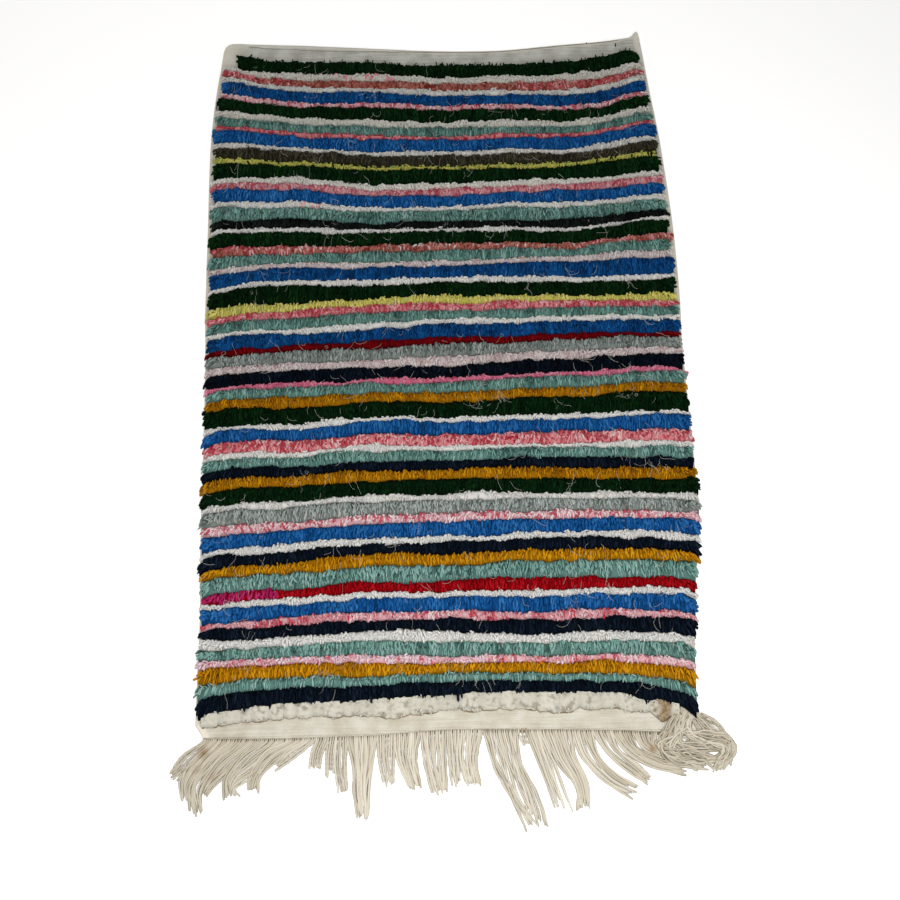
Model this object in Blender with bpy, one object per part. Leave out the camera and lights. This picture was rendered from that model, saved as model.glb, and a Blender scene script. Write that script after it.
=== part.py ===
# Boucherouite rug: a striped, knotted pile on a flat weave, with a hem along
# its head and the loose warp ends along its foot. It lies flat on a surface.
# +Y points to the hem, +X to the right, and the origin is in the underside at
# the middle of the woven length. Tables are in millimetres, the model in metres.

import math
import random
from collections import namedtuple

import bmesh
import bpy

MM = 0.001

# Lengthwise, at the middle of the rug
HEM_EDGE_Y = 635
PILE_HEAD_Y = 598
PILE_FOOT_Y = -616
WEAVE_FOOT_Y = -628

# Heights above the surface
WEAVE_THICKNESS = 3.0
HEM_ROLL_HEIGHT = 5.0
HEM_ROLL_WIDTH = 9.0
HEM_LEFT_ROUND = 6.0
HEM_RIGHT_EAR = 12.0
VALLEY_HEIGHT = 13.0
CREST_HEIGHT = 21.0
CREST_SLOPE = 1.0
NARROW_CREST_DROP = 6.0
NARROW_ROW = 12.0
RIM_HEIGHT = 9.0

# Pile rows and the locks at their ends
SHOULDER_SHARE = 0.26
LUMP_HEIGHT = 1.6
LINE_WOBBLE = 1.3
PILE_STEP_RUN = 2.5
RIM_WIDTH = 14.0
COLUMNS_BETWEEN_RIMS = 13
LOCK_REACH = 11.0
WEAVE_INSET = 4.0
LOCK_REACH_SPREAD = 4.0
LOCK_TIP_HEIGHT = 4.0
LOCK_TIP_WIDTH_SHARE = 0.55
LOCK_LEAN = 0.2
ROW_END_DROOP = 9.0
DROOP_WIDTH = 45.0

# Fringe
PIECE_GAP = 0.3
STRAND_WIDTH = 3.4
STRAND_TIP_WIDTH = 2.6
STRAND_HEIGHT = 2.6
STRAND_TOP_SHARE = 0.6
STRAND_SECTIONS = 4
STRAND_RAGGED = 0.05
KNEE_SIDEWAYS_SHARE = 0.18
KNEE_OUTWARD_SHARE = 0.42
TANGENT_STEP = 0.02
STRIP_THICKNESS = 3.0
STRIP_DEPTH = 7.0
STRIP_LEFT = -384.0
STRIP_RIGHT = 379.0

SEED = 7

# The rug's sides, measured to the tips of the locks: it is widest above its middle
Outline = namedtuple("Outline", "y left right")
OUTLINE = [
    Outline(640, -398, 399),
    Outline(480, -411, 412),
    Outline(390, -414, 418),
    Outline(215, -409, 424),
    Outline(0, -403, 421),
    Outline(-230, -396, 419),
    Outline(-310, -394, 418),
    Outline(-440, -388, 399),
    Outline(-520, -387, 390),
    Outline(-636, -385, 381),
]

# How far the rows run towards the hem, against their middle, at six places
BOW_PLACES = (-375, -240, -118, 0, 125, 250, 380)
Bow = namedtuple("Bow", "y left left_mid left_near middle right_near right_mid right")
ROW_BOW = [
    Bow(634, 25, 18, 9, 0, -2, 9, 23),
    Bow(510, 40, 14, 12, 0, 1, 0, 20),
    Bow(399, 29, 14, 5, 0, 2, 5, 30),
    Bow(282, 16, 15, 2, 0, 2, 6, 19),
    Bow(207, -1, 0, 1, 0, -1, -4, 14),
    Bow(137, -8, 0, -1, 0, -3, -5, -2),
    Bow(57, -19, -15, -7, 0, -3, -2, -7),
    Bow(-56, -12, -14, -8, 0, 6, 9, 14),
    Bow(-129, -4, -3, 4, 0, 2, 3, 7),
    Bow(-220, -4, -2, 1, 0, 4, -4, -5),
    Bow(-335, -10, -5, -2, 0, 3, 0, 0),
    Bow(-407, -12, -5, 2, 0, 3, 0, 3),
    Bow(-488, -13, -4, -1, 0, -6, -7, -10),
    Bow(-537, -2, 1, 0, 0, -3, -8, -10),
    Bow(-586, -15, -8, -6, 0, -1, -2, -8),
    Bow(-636, -4, -7, -5, 0, -2, -6, -13),
]

# Pile rows from the hem to the foot: yarn and width
PileRow = namedtuple("PileRow", "yarn width")
PILE_ROWS = [PileRow(yarn, width) for yarn, width in (
    ("dark_green", 31), ("off_white", 14), ("rust", 17), ("white", 9), ("blue", 25),
    ("pale_pink", 10), ("dark_green", 26), ("grey_white", 13), ("teal", 18), ("red_pink", 9),
    ("blue", 26), ("white", 9), ("brown", 22), ("yellow", 10), ("dark_green", 28),
    ("white", 11), ("pink", 12), ("blue", 25), ("cream", 8), ("teal", 24),
    ("charcoal", 14), ("mint_white", 6), ("dark_green", 25), ("rust", 13), ("teal", 21),
    ("pale_pink", 13), ("blue", 21), ("white", 6), ("dark_green", 29), ("yellow", 17),
    ("dark_pink", 10), ("teal", 20), ("white", 9), ("blue", 27), ("dark_red", 13),
    ("grey", 24), ("pink_white", 16), ("navy", 24), ("pink", 7), ("teal", 19),
    ("mustard", 17), ("dark_green", 31), ("white", 7), ("blue", 23), ("red_pink", 20),
    ("white", 7), ("teal", 18), ("navy", 16), ("mustard", 19), ("dark_green", 25),
    ("white", 9), ("grey", 23), ("pale_pink", 14), ("blue", 24), ("white", 11),
    ("navy", 18), ("mustard", 18), ("teal", 25), ("red", 17), ("white", 10),
    ("blue", 22), ("pink", 11), ("navy", 20), ("white", 16), ("teal", 22),
    ("lilac", 12), ("mustard", 16), ("teal", 14), ("navy", 20), ("cream", 30),
)]

# Bundles of warp ends along the foot, each fanning from its roots to its tips
Bundle = namedtuple("Bundle", "strands root_from root_to tip_from tip_to")
BUNDLES = [
    Bundle(7, -382, -340, (-414, -705), (-396, -722)),
    Bundle(6, -333, -301, (-388, -728), (-359, -745)),
    Bundle(10, -293, -228, (-335, -727), (-284, -721)),
    Bundle(6, -220, -186, (-236, -694), (-196, -688)),
    Bundle(4, -178, -155, (-176, -726), (-160, -731)),
    Bundle(5, -146, -116, (-143, -755), (-115, -768)),
    Bundle(4, -106, -85, (-97, -715), (-80, -715)),
    Bundle(5, -77, -47, (-62, -716), (-40, -716)),
    Bundle(6, -35, 1, (-27, -723), (-1, -725)),
    Bundle(6, 17, 51, (27, -716), (50, -717)),
    Bundle(8, 58, 104, (99, -766), (138, -782)),
    Bundle(4, 122, 141, (149, -770), (166, -778)),
    Bundle(5, 147, 172, (182, -758), (207, -738)),
    Bundle(7, 179, 217, (254, -744), (290, -730)),
    Bundle(5, 224, 250, (318, -716), (345, -704)),
    Bundle(12, 259, 376, (368, -701), (431, -664)),
]


def clear_scene():
    for old in list(bpy.data.objects):
        bpy.data.objects.remove(old, do_unlink=True)


def material(name, colour, roughness):
    made = bpy.data.materials.new(name)
    made.use_nodes = True
    shader = made.node_tree.nodes["Principled BSDF"]
    shader.inputs["Base Color"].default_value = (*colour, 1.0)
    shader.inputs["Roughness"].default_value = roughness
    shader.inputs["Metallic"].default_value = 0.0
    return made


def add_object(name, bm, collection, surface):
    bmesh.ops.recalc_face_normals(bm, faces=bm.faces)
    mesh = bpy.data.meshes.new(name)
    bm.to_mesh(mesh)
    bm.free()
    made = bpy.data.objects.new(name, mesh)
    made.data.materials.append(surface)
    collection.objects.link(made)
    return made


def smooth_read(places, values, place):
    """A smooth curve through the values, held level past both ends."""
    if places[0] > places[-1]:
        places, values = places[::-1], values[::-1]
    place = min(max(place, places[0]), places[-1])
    last = len(places) - 1
    left = max(i for i in range(last) if places[i] <= place)
    before, after = max(left - 1, 0), min(left + 2, last)
    span = places[left + 1] - places[left]
    slope_in = (values[left + 1] - values[before]) / (places[left + 1] - places[before]) * span
    slope_out = (values[after] - values[left]) / (places[after] - places[left]) * span
    t = (place - places[left]) / span
    return ((2 * t**3 - 3 * t**2 + 1) * values[left] + (t**3 - 2 * t**2 + t) * slope_in
            + (3 * t**2 - 2 * t**3) * values[left + 1] + (t**3 - t**2) * slope_out)


def outline_x(y, side):
    return smooth_read([row.y for row in OUTLINE], [getattr(row, side) for row in OUTLINE], y)


def row_line(y, x):
    """Where the row that crosses the middle at y lies at x."""
    heads = [row.y for row in ROW_BOW]
    bows = [smooth_read(heads, [row[1 + i] for row in ROW_BOW], y) for i in range(len(BOW_PLACES))]
    return y + smooth_read(BOW_PLACES, bows, x)


def end_droop(y, x):
    """Rows sink towards the foot over their last stretch, on the pile only."""
    if not PILE_FOOT_Y < y < PILE_HEAD_Y:
        return 0.0
    to_edge = min(x - outline_x(y, "left"), outline_x(y, "right") - x)
    return ROW_END_DROOP * max(0.0, 1 - to_edge / DROOP_WIDTH) ** 2


Section = namedtuple("Section", "y height pile lock")


def lengthwise_sections():
    """The rug's profile from the hem to the foot; lock marks the face a lock grows from."""
    roll_foot = HEM_EDGE_Y - HEM_ROLL_WIDTH
    sections = [
        Section(HEM_EDGE_Y, HEM_ROLL_HEIGHT - 1, False, False),
        Section((HEM_EDGE_Y + roll_foot) / 2, HEM_ROLL_HEIGHT, False, False),
        Section(roll_foot, WEAVE_THICKNESS, False, False),
        Section(PILE_HEAD_Y + PILE_STEP_RUN, WEAVE_THICKNESS, False, False),
    ]
    scale = (PILE_HEAD_Y - PILE_FOOT_Y) / sum(row.width for row in PILE_ROWS)
    y = PILE_HEAD_Y
    for row in PILE_ROWS:
        width = row.width * scale
        crest = CREST_HEIGHT - NARROW_CREST_DROP * max(0.0, 1 - row.width / NARROW_ROW)
        sections += [
            Section(y, VALLEY_HEIGHT, True, False),
            Section(y - width * SHOULDER_SHARE, crest, True, True),
            Section(y - width * (1 - SHOULDER_SHARE), crest - CREST_SLOPE, True, False),
        ]
        y -= width
    sections += [
        Section(PILE_FOOT_Y, VALLEY_HEIGHT, True, False),
        Section(PILE_FOOT_Y - PILE_STEP_RUN, WEAVE_THICKNESS, False, False),
        Section(WEAVE_FOOT_Y, WEAVE_THICKNESS, False, False),
    ]
    return sections


def crosswise_x(y, inset):
    """Columns across the rug, with a narrow one inside each rim."""
    left = outline_x(y, "left") + inset
    right = outline_x(y, "right") - inset
    inner_left, inner_right = left + RIM_WIDTH, right - RIM_WIDTH
    step = (inner_right - inner_left) / COLUMNS_BETWEEN_RIMS
    return [left] + [inner_left + step * i for i in range(COLUMNS_BETWEEN_RIMS + 1)] + [right]


def hem_corner(section, column, columns):
    """The hem's left corner is rounded off, and its right one stands out as an ear."""
    into_roll = max(0.0, 1 - (HEM_EDGE_Y - section.y) / HEM_ROLL_WIDTH)
    return into_roll * {0: -HEM_LEFT_ROUND, columns - 1: HEM_RIGHT_EAR}.get(column, 0.0)


def lumps(noise, section, at_rim):
    if not section.pile:
        return 0.0, 0.0
    sideways = noise.uniform(-LINE_WOBBLE, LINE_WOBBLE)
    upward = 0.0 if at_rim else noise.uniform(-LUMP_HEIGHT, LUMP_HEIGHT)
    return sideways, upward


def close_to_surface(bm):
    """Walls down from the open rim to the surface, and one level face under them."""
    upper = set(bm.faces)
    rim = [edge for edge in bm.edges if edge.is_boundary]
    grown = bmesh.ops.extrude_edge_only(bm, edges=rim)["geom"]
    for item in grown:
        if isinstance(item, bmesh.types.BMVert):
            item.co.z = 0.0
    bmesh.ops.contextual_create(bm, geom=[edge for edge in bm.edges if edge.is_boundary])
    bmesh.ops.recalc_face_normals(bm, faces=bm.faces)
    bm.verts.ensure_lookup_table()
    return upper


def wall_between(bm, first, second, upper):
    """The wall face under the rim edge between two points."""
    edge = bm.edges.get((bm.verts[first], bm.verts[second]))
    return next(face for face in edge.link_faces if face not in upper)


def rug_body():
    """One closed body: ribbed pile and flat weave above a level underside."""
    noise = random.Random(SEED)
    sections = lengthwise_sections()
    columns = COLUMNS_BETWEEN_RIMS + 3
    bm = bmesh.new()
    bmesh.ops.create_grid(bm, x_segments=columns - 1, y_segments=len(sections) - 1, size=0.5)
    bm.verts.ensure_lookup_table()
    # the grid's points run along x first, then from low y to high y
    for row, section in enumerate(reversed(sections)):
        xs = crosswise_x(section.y, LOCK_REACH if section.pile else WEAVE_INSET)
        for column, x in enumerate(xs):
            at_rim = column in (0, columns - 1)
            sideways, upward = lumps(noise, section, at_rim)
            height = min(section.height, RIM_HEIGHT) if at_rim else section.height
            y = row_line(section.y, x) - end_droop(section.y, x) + sideways
            y += hem_corner(section, column, columns)
            point = bm.verts[row * columns + column]
            point.co = (x * MM, y * MM, (height + upward) * MM)
    upper = close_to_surface(bm)
    roots = []
    for row, section in enumerate(reversed(sections)):
        if section.lock:
            left, right = row * columns, row * columns + columns - 1
            roots += [wall_between(bm, rim, rim - columns, upper) for rim in (left, right)]
    grow_locks(bm, roots, noise)
    return bm


def grow_locks(bm, roots, noise):
    """A tapered lock out of the wall at both ends of each pile row."""
    for tip in bmesh.ops.extrude_discrete_faces(bm, faces=roots)["faces"]:
        middle_y = sum(point.co.y for point in tip.verts) / len(tip.verts)
        outward = 1 if tip.verts[0].co.x > 0 else -1
        reach = LOCK_REACH + noise.uniform(-LOCK_REACH_SPREAD, 0)
        for point in tip.verts:
            point.co.x += outward * reach * MM
            point.co.y = middle_y + (point.co.y - middle_y) * LOCK_TIP_WIDTH_SHARE - reach * LOCK_LEAN * MM
            point.co.z = min(point.co.z, LOCK_TIP_HEIGHT * MM)


def strip_back(x):
    """Just clear of the weave's foot edge, which is straight between the rug's columns."""
    xs = crosswise_x(WEAVE_FOOT_Y, WEAVE_INSET)
    ys = [row_line(WEAVE_FOOT_Y, column) for column in xs]
    x = min(max(x, xs[0]), xs[-1])
    left = max(i for i in range(len(xs) - 1) if xs[i] <= x)
    share = (x - xs[left]) / (xs[left + 1] - xs[left])
    return ys[left] + (ys[left + 1] - ys[left]) * share - PIECE_GAP


Strand = namedtuple("Strand", "root tip")


def all_strands(noise):
    """Where each strand leaves the strip and where it ends, from left to right."""
    strands = []
    for bundle in BUNDLES:
        for i in range(bundle.strands):
            share = i / (bundle.strands - 1)
            x = bundle.root_from + (bundle.root_to - bundle.root_from) * share
            root = (x, strip_back(x) - STRIP_DEPTH)
            strands.append(Strand(root, strand_tip(bundle, share, root, noise)))
    return strands


def strand_tip(bundle, share, root, noise):
    """The strand's tip, a little long or short of the line between its bundle's corners."""
    stretch = 1 + noise.uniform(-STRAND_RAGGED, STRAND_RAGGED)
    tip = [a + (b - a) * share for a, b in zip(bundle.tip_from, bundle.tip_to)]
    return tuple(a + (b - a) * stretch for a, b in zip(root, tip))


def strand_point(root, tip, t):
    """A strand leaves the strip square to it and then leans to its tip."""
    knee = (root[0] + (tip[0] - root[0]) * KNEE_SIDEWAYS_SHARE,
            root[1] + (tip[1] - root[1]) * KNEE_OUTWARD_SHARE)
    return tuple((1 - t) ** 2 * a + 2 * t * (1 - t) * b + t**2 * c for a, b, c in zip(root, knee, tip))


def strand_frame(root, tip, t):
    """The strand's middle and its sideways direction at t."""
    before = strand_point(root, tip, max(t - TANGENT_STEP, 0))
    after = strand_point(root, tip, min(t + TANGENT_STEP, 1))
    along = (after[0] - before[0], after[1] - before[1])
    length = math.hypot(*along)
    return strand_point(root, tip, t), (-along[1] / length, along[0] / length)


def shape_strand_end(face, strand, t):
    """Put a strand's foremost face in its place at t."""
    middle, side = strand_frame(strand.root, strand.tip, t)
    width = STRAND_WIDTH + (STRAND_TIP_WIDTH - STRAND_WIDTH) * t
    middle_x = face.calc_center_median().x
    middle_z = face.calc_center_median().z
    for point in face.verts:
        low = point.co.z < middle_z
        half = width / 2 * (1.0 if low else STRAND_TOP_SHARE)
        if point.co.x < middle_x:
            half = -half
        x = middle[0] + side[0] * half
        y = middle[1] + side[1] * half
        point.co = (x * MM, y * MM, 0.0 if low else STRAND_HEIGHT * MM)


def fringe():
    """A narrow strip along the foot, and four-sided strands that lie on the surface."""
    strands = all_strands(random.Random(SEED + 1))
    cuts = [STRIP_LEFT]
    for strand in strands:
        cuts += [strand.root[0] - STRAND_WIDTH / 2, strand.root[0] + STRAND_WIDTH / 2]
    cuts.append(STRIP_RIGHT)
    bm = bmesh.new()
    bmesh.ops.create_grid(bm, x_segments=len(cuts) - 1, y_segments=1, size=0.5)
    bm.verts.ensure_lookup_table()
    for column, x in enumerate(cuts):
        back = strip_back(x)
        bm.verts[column].co = (x * MM, (back - STRIP_DEPTH) * MM, STRIP_THICKNESS * MM)
        bm.verts[len(cuts) + column].co = (x * MM, back * MM, STRIP_THICKNESS * MM)
    upper = close_to_surface(bm)
    # every second stretch of the strip's front is the root of a strand
    ends = [wall_between(bm, column, column + 1, upper) for column in range(1, len(cuts) - 1, 2)]
    for section in range(1, STRAND_SECTIONS + 1):
        ends = bmesh.ops.extrude_discrete_faces(bm, faces=ends)["faces"]
        ends.sort(key=lambda face: face.calc_center_median().x)
        for face, strand in zip(ends, strands):
            shape_strand_end(face, strand, section / STRAND_SECTIONS)
    return bm


def main():
    clear_scene()
    rug = bpy.data.collections.new("boucherouite_rug")
    bpy.context.scene.collection.children.link(rug)
    add_object("woven_rug", rug_body(), rug, material("wool_pile", (0.10, 0.20, 0.32), 0.95))
    add_object("fringe", fringe(), rug, material("cotton_warp", (0.70, 0.64, 0.50), 0.9))


main()
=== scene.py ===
import math

import bpy
import mathutils
import numpy as np
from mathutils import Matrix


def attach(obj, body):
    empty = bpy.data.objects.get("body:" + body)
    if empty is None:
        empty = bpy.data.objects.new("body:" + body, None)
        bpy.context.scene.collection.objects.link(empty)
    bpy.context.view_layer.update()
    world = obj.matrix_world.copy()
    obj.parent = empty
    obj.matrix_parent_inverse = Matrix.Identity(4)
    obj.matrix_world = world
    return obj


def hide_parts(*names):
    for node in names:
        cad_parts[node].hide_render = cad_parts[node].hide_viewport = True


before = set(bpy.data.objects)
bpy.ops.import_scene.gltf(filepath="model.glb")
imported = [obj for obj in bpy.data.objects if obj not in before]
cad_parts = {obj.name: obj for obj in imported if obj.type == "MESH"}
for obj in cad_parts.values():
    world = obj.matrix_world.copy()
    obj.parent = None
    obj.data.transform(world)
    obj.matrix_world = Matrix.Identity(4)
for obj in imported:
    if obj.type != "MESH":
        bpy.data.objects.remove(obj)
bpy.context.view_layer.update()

mm = 0.001


def linear(hexColour):
    # sRGB hex to the linear colour that shader sockets take
    parts = [int(hexColour[i:i + 2], 16) / 255 for i in (1, 3, 5)]
    return tuple(c / 12.92 if c <= 0.04045 else ((c + 0.055) / 1.055) ** 2.4 for c in parts) + (1.0,)


def addNode(tree, kind, settings=None, links=None):
    # settings are the node's own properties or its sockets, links are sockets to feed
    node = tree.nodes.new(kind)
    for key, value in (settings or {}).items():
        if isinstance(key, str) and hasattr(node, key):
            setattr(node, key, value)
        else:
            node.inputs[key].default_value = value
    for key, source in (links or {}).items():
        tree.links.new(source, node.inputs[key])
    return node


def startMaterial(name, roughness, sheen):
    material = bpy.data.materials.new(name)
    material.use_nodes = True
    tree = material.node_tree
    shader = tree.nodes["Principled BSDF"]
    shader.inputs["Roughness"].default_value = roughness
    # the IOR stays at its default of 1.5, near the 1.54 of wool and cotton; all here is matt
    shader.inputs["Specular IOR Level"].default_value = 0.08
    shader.inputs["Sheen Weight"].default_value = sheen
    shader.inputs["Sheen Roughness"].default_value = 0.5
    return material, tree, shader


def fillRamp(ramp, stops):
    # stops are (place, hex colour) pairs
    elements = ramp.color_ramp.elements
    while len(elements) > 1:
        elements.remove(elements[-1])
    elements[0].position, elements[0].color = stops[0][0], linear(stops[0][1])
    for place, colour in stops[1:]:
        elements.new(place).color = linear(colour)


# the rug's own lines, in mm
rugLines = {
    "hemEdge": 635.0, "pileHead": 598.0, "pileFoot": -608.0, "weaveFoot": -638.5,
    # how far the rows' ends hang down toward the foot, and how wide that bend is
    "droopWidth": 45.0, "droopSpread": 2.0,
    "droopY": [600, 566, 548, 530, 440, 350, 260, 170, 80, -10,
               -100, -190, -280, -370, -460, -530, -566, -587, -608],
    "droopLeft": [0, 0, -4, -5, 2, 6, 10, 12, 12, 12, 12, 13, 10, 8, 5, 2, 9, 14, 2],
    "droopRight": [28, 8, 0, -5, -3, 2, 3, 2, 1, 4, 6, 3, 6, 11, 8, 12, 13, 17, 6],
    # how far the pile stays in from the edges
    "insetY": [600, 300, 60, -40, -616],
    "insetLeft": [5, 4, 3, 1, 0],
    "insetRight": [3.5, 4.5, 3, 0, 0],
    # the outline's two long sides
    "outlineY": [640, 480, 390, 215, 0, -230, -310, -440, -520, -636],
    "left": [-399, -413, -416, -411, -405, -398, -396, -390, -389, -387],
    "right": [401, 414, 421, 428, 425, 424, 422, 402, 393, 384],
    # at each y on the middle line: how far the row there runs toward the hem, at each bowX
    "bowX": [-375, -310, -240, -118, 0, 125, 250, 325, 380],
    "bows": {
        634: [26, 22, 18, 9, 0, -2, 9, 15, 23],
        598: [36, 19, 14, 10, 0, -1, 4, 14, 30],
        566: [28, 19, 13, 10, 0, 0, 1, 10, 26],
        548: [35, 20, 13, 10, 0, 0, -1, 8, 24],
        510: [36, 21, 12, 11, 0, 0, -4, 5, 21],
        420: [30, 21, 14, 3, 0, 1, 0, 10, 25],
        282: [18, 17, 15, 0, 0, 3, 4, 10, 16],
        207: [2, 2, 1, -1, 0, -1, -6, 5, 14],
        172: [-5, 0, 0, -1, 0, 2, 5, 10, 10],
        137: [-10, -2, -1, -4, 0, -1, -5, -4, -1],
        57: [-18, -14, -12, -5, 0, -1, 1, -2, -3],
        -40: [-8, -5, -4, -2, 0, 6, 9, 14, 14],
        -129: [-7, -5, -5, 5, 0, 2, 3, 6, 5],
        -220: [-8, -5, -6, 0, 0, 0, -2, -4, -4],
        -335: [-18, -12, -8, -1, 0, 2, 2, -1, -4],
        -407: [-16, -10, -7, 0, 0, 2, 0, 0, -2],
        -488: [-5, -7, -2, 1, 0, -6, -5, -8, -12],
        -537: [-3, 2, 3, 1, 0, -3, -6, -9, -14],
        -586: [-21, -14, -8, -6, 0, -2, -4, -16, -31],
        -616: [-10, -6, -5, -5, 0, -2, -4, -5, -10],
        -636: [-4, -6, -7, -5, 0, -2, -6, -10, -13],
    },
}


def smoothRead(places, values, at):
    # a smooth curve through the values, level past both ends; values may have columns
    places, values = np.asarray(places, float), np.asarray(values, float)
    if places[0] > places[-1]:
        places, values = places[::-1], values[::-1]
    at = np.clip(np.asarray(at, float), places[0], places[-1])
    before = np.maximum(np.arange(len(places)) - 1, 0)
    after = np.minimum(np.arange(len(places)) + 1, len(places) - 1)
    run = (places[after] - places[before]).reshape((-1,) + (1,) * (values.ndim - 1))
    slopes = (values[after] - values[before]) / run
    i = np.clip(np.searchsorted(places, at, side="right") - 1, 0, len(places) - 2)
    span = places[i + 1] - places[i]
    t = (at - places[i]) / span
    if values.ndim > 1:
        span, t = span[..., None], t[..., None]
    return ((2 * t**3 - 3 * t**2 + 1) * values[i] + (t**3 - 2 * t**2 + t) * slopes[i] * span
            + (3 * t**2 - 2 * t**3) * values[i + 1] + (t**3 - t**2) * slopes[i + 1] * span)


def sideX(y, side):
    return smoothRead(rugLines["outlineY"], rugLines[side], y)


def rowY(y, x):
    # where the row that crosses the middle at y lies at each x
    bows = smoothRead(list(rugLines["bows"]), list(rugLines["bows"].values()), np.array([y]))[0]
    return y + smoothRead(rugLines["bowX"], bows, x)


def droop(rng, y, x):
    # how far a row's border hangs down near its two ends
    total = 0
    toEdges = {"droopLeft": x - sideX(y, "left"), "droopRight": sideX(y, "right") - x}
    for table, toEdge in toEdges.items():
        depth = float(smoothRead(rugLines["droopY"], rugLines[table], y))
        depth += rng.normal(0, rugLines["droopSpread"])
        total = total + depth * np.clip(1 - toEdge / rugLines["droopWidth"], 0, 1) ** 2
    return total


def buildMesh(name, points, faces, material, attributes=None):
    # points in mm; attributes are one number for each point
    mesh = bpy.data.meshes.new(name)
    mesh.from_pydata((np.asarray(points) * mm).tolist(), [], faces)
    for key, values in (attributes or {}).items():
        layer = mesh.attributes.new(key, "FLOAT", "POINT")
        layer.data.foreach_set("value", np.asarray(values, np.float32))
    mesh.shade_smooth()
    mesh.materials.append(material)
    piece = bpy.data.objects.new(name, mesh)
    bpy.context.scene.collection.objects.link(piece)
    return piece


def directions(path):
    # at each point of a path, or of many: level across it, and up from it
    tangent = np.gradient(path, axis=-2)
    tangent /= np.linalg.norm(tangent, axis=-1)[..., None]
    across = np.cross(tangent, np.array([0.0, 0.0, 1.0]))
    across /= np.maximum(np.linalg.norm(across, axis=-1), 1e-6)[..., None]
    return across, np.cross(across, tangent)


def ringFaces(rings, sides):
    # the faces of a closed cord, with a cap at both ends
    faces = []
    for r in range(rings - 1):
        for k in range(sides):
            a, b = r * sides + k, r * sides + (k + 1) % sides
            faces.append((a, b, b + sides, a + sides))
    faces.append(tuple(reversed(range(sides))))
    faces.append(tuple((rings - 1) * sides + k for k in range(sides)))
    return faces


def joinParts(parts):
    # pairs of points and faces as one, with the faces' numbers moved on
    points, faces, count = [], [], 0
    for partPoints, partFaces in parts:
        points.append(partPoints)
        faces += [tuple(k + count for k in face) for face in partFaces]
        count += len(partPoints)
    return np.concatenate(points), faces


def tube(path, radius, sides):
    # a round closed cord along the path
    across, up = directions(path)
    angles = np.arange(sides) * 2 * math.pi / sides
    ring = np.cos(angles)[None, :, None] * across[:, None] + np.sin(angles)[None, :, None] * up[:, None]
    points = (path[:, None] + ring * radius[:, None, None]).reshape(-1, 3)
    return points, ringFaces(len(path), sides)


# rows from the hem to the foot: yarn and width in mm
pileRows = [
    ("darkGreen", 33), ("offWhite", 14), ("rust", 17), ("white", 9), ("blue", 26),
    ("palePink", 8), ("darkGreen", 27), ("offWhite", 13), ("teal", 18), ("redPink", 8),
    ("blue", 27), ("white", 8), ("brown", 23), ("yellow", 8), ("darkGreen", 30),
    ("offWhite", 11), ("pink", 12), ("blue", 25), ("white", 8), ("teal", 24),
    ("charcoal", 14), ("white", 6), ("darkGreen", 25), ("rust", 13), ("teal", 21),
    ("pinkWhite", 9), ("blue", 25), ("white", 8), ("darkGreen", 27), ("yellow", 15),
    ("redPink", 12), ("teal", 20), ("white", 9), ("blue", 27), ("darkRed", 11),
    ("grey", 26), ("pinkWhite", 15), ("navy", 24), ("mauve", 7), ("teal", 19),
    ("mustard", 16), ("darkGreen", 31), ("white", 7), ("blue", 22), ("redPink", 20),
    ("white", 7), ("teal", 18), ("navy", 16), ("mustard", 19), ("darkGreen", 25),
    ("white", 9), ("grey", 23), ("palePink", 14), ("blue", 24), ("white", 11),
    ("navy", 18), ("mustard", 18), ("teal", 26), ("red", 18), ("white", 10),
    ("blue", 22), ("palePink", 11), ("navy", 20), ("white", 16), ("teal", 21),
    ("lilac", 12), ("mustard", 16), ("teal", 13), ("navy", 20), ("cream", 22),
]
# stretches where another yarn comes in: row, from x, to x, yarn and its share of the tufts
yarnChanges = [
    (13, -420, 430, "darkGreen", 0.1),
    (1, -186, -150, "redPink", 0.4), (1, -128, -108, "redPink", 0.5), (1, -92, -74, "redPink", 0.5),
    (2, -420, -335, "redPink", 1.0), (2, -335, -270, "redPink", 0.5), (2, 160, 420, "redPink", 0.6),
    (18, -250, -196, "redPink", 0.55),
    (23, -420, -150, "redPink", 0.5), (23, 250, 430, "redPink", 0.4), (23, -150, 250, "pinkWhite", 0.12),
    (58, -420, -262, "magenta", 1.0), (65, 60, 420, "palePink", 0.8), (65, 65, 260, "redPink", 0.35),
]
# the last row's stained tuft, in mm: its middle, half its width and how far it hangs below the others
stainedTuft = {"x": 331.0, "half": 13.0, "drop": 13.0}

# each yarn's tones, from the shaded strand to the bleached one
yarns = {
    "darkGreen": ("#020c04", "#051f0b", "#153a1a"),
    "offWhite": ("#b4b1a5", "#d2cfc4", "#ebe8df"),
    "rust": ("#702019", "#b26d62", "#daa195"),
    "white": ("#c2c0b9", "#dcdad4", "#f3f0ea"),
    "blue": ("#082a55", "#135090", "#3878b6"),
    "palePink": ("#b8203c", "#e2b4b9", "#efdcda"),
    "teal": ("#2f4e48", "#79a399", "#a6c4bc"),
    "redPink": ("#a81228", "#df8d92", "#ecc4c4"),
    "brown": ("#1b1a12", "#363428", "#5b5644"),
    "yellow": ("#8f9f50", "#cfc663", "#ebe29a"),
    "pink": ("#ab3046", "#dda0a4", "#f0c8c8"),
    "mauve": ("#a83d5c", "#cf6f88", "#e39aaa"),
    "cream": ("#8c7250", "#c0bcae", "#d2cec2"),
    "charcoal": ("#040605", "#0c1210", "#232b29"),
    "darkRed": ("#450206", "#70060c", "#94161a"),
    "grey": ("#56635f", "#9ca5a0", "#c0c6c1"),
    "pinkWhite": ("#b89d9d", "#d3c7c4", "#e8dedb"),
    "navy": ("#020408", "#09111d", "#1b2738"),
    "mustard": ("#7c4c08", "#c2870f", "#e2a51e"),
    "red": ("#6c0309", "#950711", "#b51a22"),
    "magenta": ("#740f38", "#a81f58", "#c9487c"),
    "lilac": ("#c83a52", "#e3c0c6", "#eed9e0"),
}

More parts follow.
